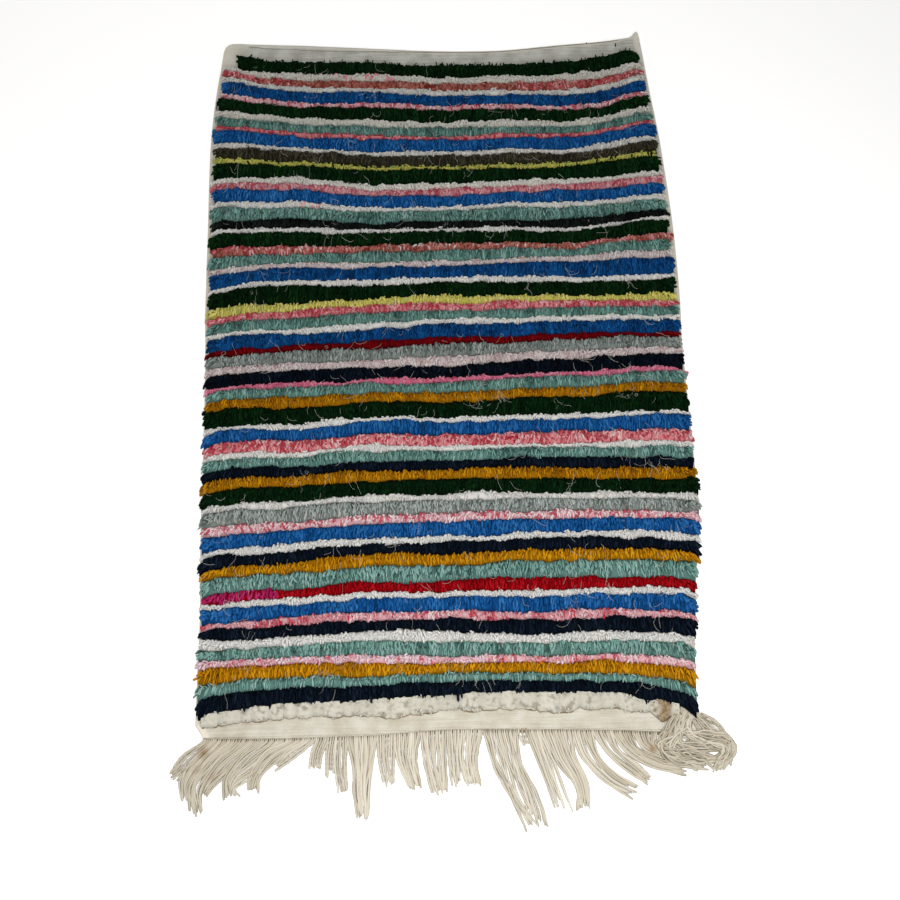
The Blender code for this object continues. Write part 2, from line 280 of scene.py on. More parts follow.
pile = {
    # in mm, apart from shares, tones, counts and angles
    "valley": 13.5, "crest": 20.0, "narrowDrop": 4.0, "narrowRow": 12.0,
    "outerFoot": 4.0,       # how low the first and the last row come on their free sides
    "rimWidth": 14.0, "rimHeight": 7.0, "rimInset": 9.0, "rimSoftness": 6.0,
    # the borders between rows: slow and quick drift as pitch and spread, and small scallops
    "borderDrifts": [(60, 1.5), (16, 1.4)], "scallop": 2.2, "scallopLength": (6, 13),
    # lumps along a row's top, and the larger ones of the last row
    "swellDrift": (26, 0.7), "swellLength": (7, 14),
    "lastCrest": 10.0, "lastLump": 5.5, "lastLumpLength": (16, 36), "lastRise": 3.0, "lastSwell": 5.0,
    # tufts near the ends lean out, those to the hem further, by angles in radians
    "turnWidth": 42.0, "turnAngle": 1.1, "hemTurnAngle": 1.6, "turnedLength": 8.5, "turnWiden": 0.25,
    "hemPitchShare": 1.3,   # the tufts that lean to the hem stand wider apart
    "jitter": 0.4, "lengthShares": (0.8, 1.15), "widthShares": (0.75, 1.2), "startSpread": 0.12,
    "ownSlant": 0.6, "ownBend": 0.4, "clumpLift": 0.8,
    "overlap": 2.4,         # how far a tuft's end may reach past its row
    "footTuck": 0.4, "pastSide": 1.5, "lowest": 3.4,
    "slip": 4.5, "slipLift": 1.8,       # tufts that slipped down over the next row
    "spikeShare": 0.14, "spike": 3.4,   # tufts that reach across into the next row, and how far
    "fleckTone": 0.08, "clumpFlecks": 0.6, "ownFlecks": 0.8,
    "hemLine": 14,          # a line of tufts that lean to the hem for each such width
    "bedSteps": 44, "bedLines": (0.14, 0.35, 0.65, 0.86), "bedLowest": 3.2, "bedUnderside": 3.0,
    # the bed's low rise and tone are painted shade in the gaps between the tufts
    "bedRise": 0.3, "bedTone": 0.35,
    "curlSteps": 380, "curlLines": 17, "curlCount": 900, "curlSize": (2.6, 6.0), "curlHeight": 3.0,
    "curlShade": 1.0,       # how far the painted shade strip under the last row reaches out on the weave
    "wisps": 60, "wispLength": (6, 12), "wispHalf": (0.8, 1.7), "wispHeight": 5.6,
    # specks of the first row's yarn that are caught further up on the hem: x, y and length
    "specks": [(298, 645, 3), (353, 637, 9)],
    "seed": 11,
}
# the places along a tuft: share of its length, whether it is lifted there, and how deep it sinks in mm
fingerPlaces = [(0.0, 0, 2.4), (0.45, 1, 0.0), (0.85, 1, 0.0), (1.0, 1, 0.6)]
# how each kind of yarn lies, in mm: from tuft to tuft, from line to line, half a tuft's width, its
# height, its least length, and how far tufts differ in lift, tone, heading ("wild", in radians),
# slant and place ("shift"); "clump" is from clump to clump, "pull" how far tufts draw toward theirs,
# "slipped" the share of clumps that slid down, "bed" how deep the tufts' bed lies, "root" how bright
# the roots stay under the painted shade and "glow" how much light goes through
yarnHabits = {
    "smooth": {"sheen": 0.0, "pitch": 3.9, "line": 9.0, "half": 2.2, "depth": 0.9, "reach": 9.0,
               "lift": 0.3, "tone": 0.12, "clumpTone": 0.1, "wild": 0.12, "slant": 1.0, "pull": 0.14,
               "shift": 1.1, "slipped": 0.02, "clump": 8.0, "bed": 1.6, "root": 0.6, "glow": 0.0},
    "coarse": {"sheen": 0.01, "pitch": 3.6, "line": 9.0, "half": 1.6, "depth": 1.1, "reach": 9.0,
               "lift": 0.5, "tone": 0.1, "clumpTone": 0.1, "wild": 0.16, "slant": 1.9, "pull": 0.24,
               "shift": 0.9, "slipped": 0.03, "clump": 9.0, "bed": 2.6, "root": 0.47, "glow": 0.15},
    "puffy": {"sheen": 0.05, "pitch": 3.4, "line": 6.5, "half": 2.2, "depth": 1.0, "reach": 6.0,
              "lift": 0.3, "tone": 0.04, "clumpTone": 0.05, "wild": 0.5, "slant": 0.8, "pull": 0.15,
              "shift": 1.1, "slipped": 0.02, "clump": 8.0, "bed": 1.2, "root": 0.95, "glow": 0.55},
    "mottled": {"sheen": 0.03, "pitch": 3.3, "line": 6.0, "half": 1.9, "depth": 1.0, "reach": 5.0,
                "lift": 0.35, "tone": 0.1, "clumpTone": 0.16, "wild": 0.5, "slant": 0.8, "pull": 0.15,
                "shift": 1.0, "slipped": 0.03, "clump": 8.0, "bed": 1.4, "root": 0.85, "glow": 0.35},
    "spiky": {"sheen": 0.03, "pitch": 3.5, "line": 8.0, "half": 1.7, "depth": 1.1, "reach": 8.0,
              "lift": 0.6, "tone": 0.1, "clumpTone": 0.1, "wild": 0.2, "slant": 1.2, "pull": 0.35,
              "shift": 1.4, "slipped": 0.3, "clump": 8.0, "bed": 2.2, "root": 0.8, "glow": 0.3},
    "curly": {"sheen": 0.05, "pitch": 3.4, "line": 6.5, "half": 2.1, "depth": 1.0, "reach": 6.0,
              "lift": 0.5, "tone": 0.08, "clumpTone": 0.06, "wild": 1.2, "slant": 0.8, "pull": 0.2,
              "shift": 0.8, "slipped": 0.0, "clump": 13.0, "bed": 1.6, "root": 0.8, "glow": 0.5},
}
habitOf = {
    "darkGreen": "smooth", "blue": "smooth", "navy": "smooth", "red": "smooth", "darkRed": "smooth",
    "magenta": "smooth", "charcoal": "smooth", "teal": "coarse", "grey": "coarse", "mustard": "coarse",
    "brown": "coarse", "rust": "mottled", "palePink": "mottled", "redPink": "mottled", "pink": "mottled",
    "pinkWhite": "mottled", "mauve": "mottled", "lilac": "mottled", "yellow": "spiky", "cream": "curly",
}
# a second colour that shows through in places, as the dye took unevenly
tints = {
    "blue": "#1a6f9c", "teal": "#3c8576", "mustard": "#c4600f", "navy": "#131a12", "darkGreen": "#1d3a10",
    "brown": "#4a4228", "grey": "#a39c92", "white": "#dccabb", "offWhite": "#dccbb8", "charcoal": "#241c18",
    "cream": "#d3c8b0", "yellow": "#c9b53c", "rust": "#b4705a",
}
# rows darker or lighter than others of their yarn: row number and change of tone
rowTones = {
    0: -0.1, 2: -0.15, 3: -0.3, 4: -0.2, 8: -0.15, 9: -0.2, 11: -0.3, 13: -0.3, 15: 0.2, 16: -0.15,
    19: -0.1, 24: -0.15, 26: -0.3, 28: -0.15, 30: -0.12, 31: -0.2, 33: -0.32, 34: -0.2, 35: -0.2,
    36: -0.15, 37: -0.2, 39: -0.12, 40: -0.25, 41: -0.15, 46: -0.1, 48: -0.2, 49: -0.15, 50: -0.25,
    52: 0.15, 61: -0.2, 69: 0.15,
}
# the share of tufts that show the yarn's darkest tone
flecks = {
    "redPink": 0.34, "palePink": 0.24, "pink": 0.26, "rust": 0.28, "pinkWhite": 0.08, "lilac": 0.16,
    "teal": 0.06, "grey": 0.06,
}
rowFlecks = {61: 0.06, 65: 0.05}    # row number and its own share
# rows that stop short of the edges: row number, and how far in at the left and right
rowInsets = {0: (21, 2), 69: (4, 27)}


def pileMaterial(yarn):
    # hand-spun wool and mixed yarn, cut: matt ends with a soft fuzz, and each end its own tone
    habit = yarnHabits[habitOf.get(yarn, "puffy")]
    material, tree, shader = startMaterial("wool_" + yarn, 0.92, habit["sheen"])
    shader.inputs["Specular IOR Level"].default_value = 0.03
    if habit["glow"]:
        # pale wool lets light through from strand to strand
        shader.inputs["Subsurface Weight"].default_value = habit["glow"]
        shader.inputs["Subsurface Radius"].default_value = (1.0, 0.95, 0.9)
        shader.inputs["Subsurface Scale"].default_value = 3 * mm
    shader.inputs["Sheen Tint"].default_value = linear(yarns[yarn][2])
    tone = addNode(tree, "ShaderNodeAttribute", {"attribute_name": "tone"})
    rise = addNode(tree, "ShaderNodeAttribute", {"attribute_name": "rise"})
    onRug = {"Vector": addNode(tree, "ShaderNodeTexCoord").outputs["Object"]}
    combed = addNode(tree, "ShaderNodeMapping",
                     {"Scale": (1 / (0.7 * mm), 1 / (4.0 * mm), 1 / (2.0 * mm))}, onRug)
    fibre = addNode(tree, "ShaderNodeTexNoise", {"Scale": 1.0, "Detail": 3.0},
                    {"Vector": combed.outputs["Vector"]})
    mixed = addNode(tree, "ShaderNodeMath", {"operation": "MULTIPLY_ADD", 1: 0.4},
                    {0: fibre.outputs["Fac"], 2: tone.outputs["Fac"]})
    shifted = addNode(tree, "ShaderNodeMath", {"operation": "SUBTRACT", 1: 0.2}, {0: mixed.outputs[0]})
    ramp = addNode(tree, "ShaderNodeValToRGB", None, {"Fac": shifted.outputs[0]})
    low, middle, high = yarns[yarn]
    fillRamp(ramp, [(0.0, low), (0.45, middle), (1.0, high)])
    colour = ramp.outputs["Color"]
    if yarn in tints:
        patches = addNode(tree, "ShaderNodeTexNoise",
                          {"Scale": 1 / (7 * mm), "Detail": 3.0, "Roughness": 0.7}, onRug)
        share = addNode(tree, "ShaderNodeMapRange", {"From Min": 0.5, "From Max": 0.75, "To Max": 0.5},
                        {"Value": patches.outputs["Fac"]})
        tinted = addNode(tree, "ShaderNodeMix", {"data_type": "RGBA", "B": linear(tints[yarn])},
                         {"Factor": share.outputs["Result"], "A": colour})
        colour = tinted.outputs["Result"]
    # painted shade: the colour darkens toward the tufts' roots and over the bed, down to the habit's "root"
    # share where rise is 0
    depth = addNode(tree, "ShaderNodeMapRange",
                    {"From Min": 0.0, "From Max": 0.8, "To Min": habit["root"], "To Max": 1.0},
                    {"Value": rise.outputs["Fac"]})
    shaded = addNode(tree, "ShaderNodeMix", {"data_type": "RGBA", "blend_type": "MULTIPLY", "Factor": 1.0},
                     {"A": colour, "B": depth.outputs["Result"]})
    tree.links.new(shaded.outputs["Result"], shader.inputs["Base Color"])
    height, depthMm = fibre.outputs["Fac"], 0.4
    if yarn == "cream":
        # the last row's yarn is left long and lies in small curls
        curls = addNode(tree, "ShaderNodeTexNoise",
                        {"Scale": 1 / (3.5 * mm), "Detail": 3.0, "Distortion": 1.2}, onRug)
        height, depthMm = curls.outputs["Fac"], 1.2
    bump = addNode(tree, "ShaderNodeBump", {"Strength": 0.5, "Distance": depthMm * mm}, {"Height": height})
    tree.links.new(bump.outputs["Normal"], shader.inputs["Normal"])
    return material


class Tufts:
    # gathers the tufts and the bed strips of one yarn
    def __init__(self):
        self.paths, self.widths, self.depths, self.tones = [], [], [], []
        self.bedPoints, self.bedFaces, self.bedTones, self.bedRise, self.bedCount = [], [], [], [], 0


def drift(rng, xs, pitch, spread):
    # smooth random drift along a row
    places = np.arange(-470, 471, pitch)
    return np.interp(xs, places, rng.normal(0, spread, len(places)))


gridX = np.arange(-440.0, 441.0, 2.0)


def lumps(rng, least, most):
    # a chain of round lumps along a row, each from 0 at its ends to 1 in its middle
    ends = np.cumsum(rng.uniform(least, most, int(900 / least))) - 450
    number = np.searchsorted(ends, gridX)
    middle, half = (ends[number] + ends[number - 1]) / 2, (ends[number] - ends[number - 1]) / 2
    size = rng.uniform(0.4, 1.0, len(ends) + 1)[number]
    return size * np.sqrt(np.clip(1 - ((gridX - middle) / half) ** 2, 0, 1))


def rowBorders(rng):
    # where each row ends and the next begins, as y on gridX
    widths = [width for yarn, width in pileRows]
    scale = (rugLines["pileHead"] - rugLines["pileFoot"]) / sum(widths)
    places = rugLines["pileHead"] - np.concatenate([[0], np.cumsum(widths)]) * scale
    borders = []
    for y in places:
        line = rowY(y, gridX) - droop(rng, y, gridX)
        for pitch, spread in pile["borderDrifts"]:
            line = line + drift(rng, gridX, pitch, spread)
        borders.append(line - pile["scallop"] * lumps(rng, *pile["scallopLength"]))
    lastLumps = lumps(rng, *pile["lastLumpLength"])
    borders[-1] -= pile["lastLump"] * lastLumps + stainedTuft["drop"] * stainedShare(gridX)
    borders[-2] += pile["lastRise"] * lastLumps
    return borders, lastLumps


def rowHeight(v, crest, valleys):
    # a row's rounded cross-section, v from 0 at its hem side to 1 at its foot side
    v = np.clip(v, 0, 1)
    valley = np.where(v < 0.5, valleys[0], valleys[1])
    return valley + (crest - valley) * (1 - np.abs(2 * v - 1) ** 2.4) ** 0.7


def toEnd(x, y):
    return np.minimum(x - sideX(y, "left"), sideX(y, "right") - x) - pile["rimInset"]


def onRow(row, x, v):
    # a place on the row's surface; it falls away over the ends
    head, foot = np.interp(x, gridX, row["border"][0]), np.interp(x, gridX, row["border"][1])
    y = head + (foot - head) * v
    z = rowHeight(v, row["crest"] + np.interp(x, gridX, row["swell"]), row["valleys"])
    share = np.clip((toEnd(x, y) + pile["rimSoftness"]) / pile["rimWidth"], 0, 1)
    return y, pile["rimHeight"] + (z - pile["rimHeight"]) * np.sqrt(1 - (1 - share) ** 2)


def layTufts(rng, row, habit, clumps, fromV, way, reach):
    # one line of tufts that lie over the row, way 1 to the foot and -1 to the hem
    width, left, right = row["width"], row["left"], row["right"]
    toFoot = way > 0
    count = int((right - left) / habit["pitch"] / (1 if toFoot else pile["hemPitchShare"]))
    xs = left + (np.arange(count) + rng.uniform(0, 1)) * (right - left) / count
    xs = xs + rng.uniform(-pile["jitter"], pile["jitter"], count) * habit["pitch"]
    nearest = np.abs(xs[:, None] - clumps["x"][None, :]).argmin(1)
    xs = xs + (clumps["x"][nearest] - xs) * habit["pull"]
    outward = np.where(xs > (left + right) / 2, 1.0, -1.0)
    turn = np.clip(1 - np.minimum(xs - left, right - xs) / pile["turnWidth"], 0, 1) ** 1.5
    length = reach * rng.uniform(*pile["lengthShares"], count)
    length = length + (np.minimum(length, pile["turnedLength"]) - length) * turn
    startV = fromV + rng.uniform(-pile["startSpread"], pile["startSpread"], count)
    angle = turn * pile["turnAngle" if toFoot else "hemTurnAngle"] + rng.normal(0, habit["wild"], count)
    slant = clumps["slant"][nearest] + rng.normal(0, pile["ownSlant"] * habit["slant"], count)
    slant = slant + outward * np.sin(angle) * length
    endV = startV + way * length / width * np.cos(angle)
    across = rng.uniform(0, pile["overlap"], count) + pile["spike"] * (rng.random(count) < pile["spikeShare"])
    endV = np.clip(endV, -across / width, 1 + (across - pile["footTuck"]) / width)
    slipped = clumps["slipped"][nearest] & toFoot
    endV = endV + slipped * pile["slip"] / width
    lift = clumps["lift"][nearest] + rng.normal(0, habit["lift"], count) + pile["slipLift"] * slipped
    bend = rng.normal(0, pile["ownBend"] + habit["lift"], count)
    path = np.zeros((count, len(fingerPlaces), 3))
    for k, (step, lifted, sink) in enumerate(fingerPlaces):
        x = xs + slant * step + bend * 4 * step * (1 - step)
        v = startV + (endV - startV) * step
        y, z = onRow(row, x, v)
        x = np.clip(x, sideX(y, "left") - pile["pastSide"], sideX(y, "right") + pile["pastSide"])
        z = np.maximum(z + lift * lifted - sink, pile["lowest"])
        path[:, k] = np.stack([x, y + clumps["shift"][nearest], z], 1)
    widths = habit["half"] * rng.uniform(*pile["widthShares"], count) * (1 + pile["turnWiden"] * turn)
    tones = np.clip(row["tone"] + clumps["tone"][nearest] + rng.normal(0, habit["tone"], count), 0, 1)
    return xs, path, widths, tones, clumps["flecked"][nearest]


def plantWisps(rng, row, tufts):
    # loose ends of the first row's yarn that lie out over the hem, and the specks further up
    xs = rng.uniform(row["left"] + 4, row["right"] - 4, pile["wisps"])
    lengths = rng.uniform(*pile["wispLength"], len(xs))
    starts = np.interp(xs, gridX, row["border"][0]) + 1.0
    xs, starts, lengths = np.concatenate([[xs, starts, lengths], np.transpose(pile["specks"])], 1)
    slant, hook = rng.normal(0, 0.25, len(xs)), rng.normal(0, 2.0, len(xs))
    path = np.zeros((len(xs), len(fingerPlaces), 3))
    for k, (step, _, _) in enumerate(fingerPlaces):
        x = xs + slant * lengths * step + hook * step ** 3
        y = starts + lengths * (step - 0.35 * step ** 4)
        path[:, k] = np.stack([x, y, np.full(len(xs), pile["wispHeight"]) + 1.5 * step], 1)
    tufts.paths.append(path)
    tufts.widths.append(rng.uniform(*pile["wispHalf"], len(xs)))
    tufts.depths.append(np.full(len(xs), 0.7))
    tufts.tones.append(rng.uniform(0.4, 1.0, len(xs)))


def stainedShare(xs):
    return np.exp(-((xs - stainedTuft["x"]) / stainedTuft["half"]) ** 2)


def curls(rng, row, xs, y):
    # the small round curls that the last row's yarn lies in: 0 in the creases to 1 on top
    count = pile["curlCount"]
    middleX = rng.uniform(row["left"] - 4, row["right"] + 4, count)
    middleY = onRow(row, middleX, rng.uniform(-0.05, 1.05, count))[0]
    size = rng.uniform(*pile["curlSize"], count)
    away = np.hypot(xs[None, :, None] - middleX, y[:, :, None] - middleY) / size
    return np.sqrt(np.clip(1 - away ** 2, 0, 1)).max(2)


def plantRow(rng, border, index, lastLumps, gathered):
    yarn, width = pileRows[index]
    isFirst, isLast = index == 0, index == len(pileRows) - 1
    habit = yarnHabits["curly" if isLast else habitOf.get(yarn, "puffy")]
    fleckShare = rowFlecks.get(index, flecks.get(yarn, 0))
    insets = rowInsets.get(index, (0, 0))
    middleY = float(np.interp(0, gridX, (border[0] + border[1]) / 2))
    insetLeft, insetRight = [
        float(smoothRead(rugLines["insetY"], rugLines[table], middleY)) + rng.uniform(-2.5, 3.5) + extra
        for table, extra in (("insetLeft", insets[0]), ("insetRight", insets[1]))]
    row = {
        "border": border, "width": width,
        "swell": drift(rng, gridX, *pile["swellDrift"]) + lumps(rng, *pile["swellLength"]),
        "tone": 0.5 + rowTones.get(index, 0),
        "crest": pile["lastCrest"] if isLast else
        pile["crest"] - pile["narrowDrop"] * max(0, 1 - width / pile["narrowRow"]),
        "valleys": [pile["outerFoot" if isOuter else "valley"] for isOuter in (isFirst, isLast)],
        "left": float(sideX(middleY, "left")) + pile["rimInset"] + insetLeft,
        "right": float(sideX(middleY, "right")) - pile["rimInset"] - insetRight,
    }
    if isLast:
        row["swell"] = pile["lastSwell"] * (lastLumps - 0.3)
        row["lumped"] = lastLumps
    places = np.arange(-470, 471, habit["clump"])
    count = len(places)
    clumps = {
        "x": places + rng.uniform(-0.35, 0.35, count) * habit["clump"],
        "lift": rng.normal(0, pile["clumpLift"], count), "slant": rng.normal(0, habit["slant"], count),
        "tone": rng.normal(0, habit["clumpTone"], count), "shift": rng.normal(0, habit["shift"], count),
        "slipped": rng.random(count) < habit["slipped"], "flecked": rng.random(count) < fleckShare,
    }
    overLayers, hemLayers = max(1, round(width / habit["line"])), max(1, round(width / pile["hemLine"]))
    reach = max(habit["reach"], 3 + 1.2 * width / overLayers)
    layers = [(0.02 + 0.74 * j / overLayers, 1.0, reach) for j in range(overLayers)]
    layers += [(0.42 + 0.2 * j, -1.0, reach) for j in range(hemLayers)]
    if isFirst:
        layers += [(0.12, -1.0, 5.0)]
    if isLast:
        layers = [(0.0, 1.0, 4.5), (0.8, 1.0, 4.5)]
    for fromV, way, reach in layers:
        xs, path, widths, tones, clumpFlecked = layTufts(rng, row, habit, clumps, fromV, way, reach)
        kinds = np.full(len(xs), yarn, dtype=object)
        for changed, fromX, toX, other, share in yarnChanges:
            if changed == index:
                kinds[(xs > fromX) & (xs < toX) & (rng.random(len(xs)) < share)] = other
        fleckOdds = np.where(clumpFlecked, pile["clumpFlecks"], fleckShare * pile["ownFlecks"])
        flecked = rng.random(len(xs)) < fleckOdds
        if isLast:
            flecked = rng.random(len(xs)) < 1.6 * stainedShare(xs)
        tones = np.where(flecked, pile["fleckTone"], tones)
        for kind in sorted(set(kinds)):
            mask = kinds == kind
            tufts = gathered.setdefault(kind, Tufts())
            tufts.paths.append(path[mask])
            tufts.widths.append(widths[mask])
            tufts.depths.append(widths[mask] * habit["depth"] / habit["half"])
            tufts.tones.append(tones[mask])
    if isFirst:
        plantWisps(rng, row, gathered[yarn])
    layBed(rng, row, habit["bed"], gathered[yarn], isLast)


def layBed(rng, row, depth, tufts, curled):
    # a low roll of the same yarn under the tufts, so that no ground shows between them
    steps = pile["curlSteps"] if curled else pile["bedSteps"]
    xs = np.linspace(row["left"] - 2, row["right"] + 2, steps)
    bedFrom, bedTo = [0.0 if valley > pile["outerFoot"] else 0.1 for valley in row["valleys"]]
    shares = np.linspace(0, 0.97, pile["curlLines"]) if curled else (bedFrom, *pile["bedLines"], 1 - bedTo)
    surface = [onRow(row, xs, np.full(steps, share)) for share in shares]
    y, z = np.array([place[0] for place in surface]), np.array([place[1] for place in surface]) - depth
    # painted shade between the tufts: the bed gets a low rise and a darker tone
    rise, tones = np.full(y.shape, pile["bedRise"]), np.full(y.shape, pile["bedTone"])
    if curled:
        rise = curls(rng, row, xs, y)
        z = z + pile["curlHeight"] * rise
        # painted shade in the creases: lower curls and lumps get a lower rise and a darker tone; the stained
        # tuft is a real stain
        rise = rise * (0.4 + 0.6 * np.interp(xs, gridX, row["lumped"]))
        tones = 0.3 + 0.5 * rise - 0.6 * stainedShare(xs)
        # a thin strip of the yarn, low and dark, reaches out on the weave at the roll's foot: painted shade
        # for the shade the roll casts there
        shade = np.clip(pile["curlShade"] + drift(rng, xs, 12, 0.7), 0.1, 2.2)
        y, z = np.vstack([y, y[-1] - 0.2, y[-1] - shade]), np.vstack([z, np.full((2, steps), 3.6)])
        rise, tones = np.vstack([rise, np.zeros((2, steps))]), np.vstack([tones, np.zeros((2, steps))])
    lines = [np.stack([xs, lineY, np.maximum(lineZ, pile["bedLowest"])], 1) for lineY, lineZ in zip(y, z)]
    lines += [line * [1, 1, 0] + [0, 0, pile["bedUnderside"]] for line in (lines[-1], lines[0])]
    tufts.bedRise += [rise.ravel(), rise[-1], rise[0]]
    tufts.bedTones += [tones.ravel(), tones[-1], tones[0]]
    rings = len(lines)
    faces = []
    for ring in range(rings):
        a, b = ring * steps, (ring + 1) % rings * steps
        faces += [(a + i, b + i, b + i + 1, a + i + 1) for i in range(steps - 1)]
    faces.append(tuple(ring * steps for ring in reversed(range(rings))))
    faces.append(tuple(ring * steps + steps - 1 for ring in range(rings)))
    tufts.bedPoints += lines
    tufts.bedFaces += [tuple(i + tufts.bedCount for i in face) for face in faces]
    tufts.bedCount += rings * steps


def fingerArrays(rng, tufts):
    # each tuft is a closed three-sided finger with a blunt tip
    path, half = np.concatenate(tufts.paths), np.concatenate(tufts.widths)
    tones = np.concatenate(tufts.tones)
    count = len(path)
    across, up = directions(path)
    roll = rng.normal(0, 0.3, count)[:, None, None]
    across, up = across * np.cos(roll) + up * np.sin(roll), up * np.cos(roll) - across * np.sin(roll)
    size = np.array([0.7, 1.0, 0.88])[None, :, None] * half[:, None, None]
    depth = size * (np.concatenate(tufts.depths) / half)[:, None, None]
    rings = path[:, :3]
    left = rings + across[:, :3] * size - up[:, :3] * depth * 0.5
    top = rings + up[:, :3] * depth
    right = rings - across[:, :3] * size - up[:, :3] * depth * 0.5
    points = np.concatenate([left[:, :, None], top[:, :, None], right[:, :, None]], 2).reshape(count, 9, 3)
    points = np.concatenate([points, path[:, 3:4]], 1)
    pattern = [(0, 2, 1)]
    for r in (0, 3):
        for s in range(3):
            a, b = r + s, r + (s + 1) % 3
            pattern += [(a, b, b + 3), (a, b + 3, a + 3)]
    pattern += [(6, 7, 9), (7, 8, 9), (8, 6, 9)]
    faces = (np.arange(count)[:, None, None] * 10 + np.array(pattern)[None]).reshape(-1, 3)
    # rise for the painted shade at the roots: 0 at a tuft's root, 0.7 along its middle, 1 at its tip
    rise = np.tile(np.array([0.0] * 3 + [0.7] * 3 + [1.0] * 4), count)
    return points.reshape(-1, 3), faces, np.repeat(tones, 10), rise


def makePile():
    rng = np.random.default_rng(pile["seed"])
    gathered = {}
    borders, lastLumps = rowBorders(rng)
    for index in range(len(pileRows)):
        plantRow(rng, (borders[index], borders[index + 1]), index, lastLumps, gathered)
    pieces = []
    for yarn in sorted(gathered):
        tufts = gathered[yarn]
        points, faces, tones, rise = fingerArrays(rng, tufts)
        faces = faces.tolist()
        if tufts.bedCount:
            bed = np.concatenate(tufts.bedPoints)
            faces += [tuple(i + len(points) for i in face) for face in tufts.bedFaces]
            points = np.concatenate([points, bed])
            tones = np.concatenate([tones] + tufts.bedTones)
            rise = np.concatenate([rise] + tufts.bedRise)
        name = "pile" + yarn[0].upper() + yarn[1:]
        piece = buildMesh(name, points, faces, pileMaterial(yarn), {"tone": tones, "rise": rise})
        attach(piece, "root")
        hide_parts("woven_rug")
        pieces.append(piece)
    return pieces


pilePieces = makePile()
print("pile:", len(pilePieces), "yarns,", sum(len(piece.data.polygons) for piece in pilePieces), "faces")


weave = {
    # in mm; y values are on the middle line
    "columns": 40, "evenRows": 68, "thickness": 3.0, "underside": 0.3, "unevenness": 0.12,
    "rollWidth": 9.0, "rollHeight": 5.0,
    # columns from each side edge, and from where they stand evenly
    "fromEnd": (0.0, 2.0, 5.0, 9.0, 14.0, 20.0), "evenFrom": 30,
    "evenTo": -606, "footRows": (-609, -612, -615, -619, -625, -632), "footRag": 0.5,
    "weaveInset": 1.0, "lowInset": 3.0, "leftRound": 16.0,
    "rightEar": 15.0, "earWidth": 15.0, "earInset": 6, "earTip": (4.0, 13.0),
    "selvedge": 1.6,        # how much thicker the outer cords are
    # how fast the left edge runs in over the last stretch to the foot, and where that starts
    "footCorner": 0.45, "footCornerFrom": -612,
    "thinFrom": -620, "thinBy": 0.9, "thinRun": 18,
    # the warp goes on past the last weft, low, and is coloured dark as painted shade under the strands
    "lip": 5.0, "lipHeight": 1.0, "lipRag": 0.4, "lipPaintedShade": 0.85,
    # cleaner cotton: the left corner, the selvedges and the hem's roll
    "cornerFresh": 0.8, "cornerWidth": 60, "cornerFrom": 560,
    "selvedgeFresh": 0.7, "selvedgeWidth": 9, "selvedgeFade": 6, "rollFresh": 0.45,
    "ribPitch": 3.4,        # the real weft lies at 1.7, too fine to show
    # the seam's thread: how far under the hem's edge it lies, by x
    "seamDepth": [(-352, 6), (-320, 8), (-260, 9), (-190, 9), (-90, 6), (-20, 3.5), (90, 3), (360, 2.5)],
    "seamRadius": 0.7, "seamOver": 0.1, "seamRag": 0.25, "seamSections": 90, "seamStain": 0.75,
    "seed": 3,
}


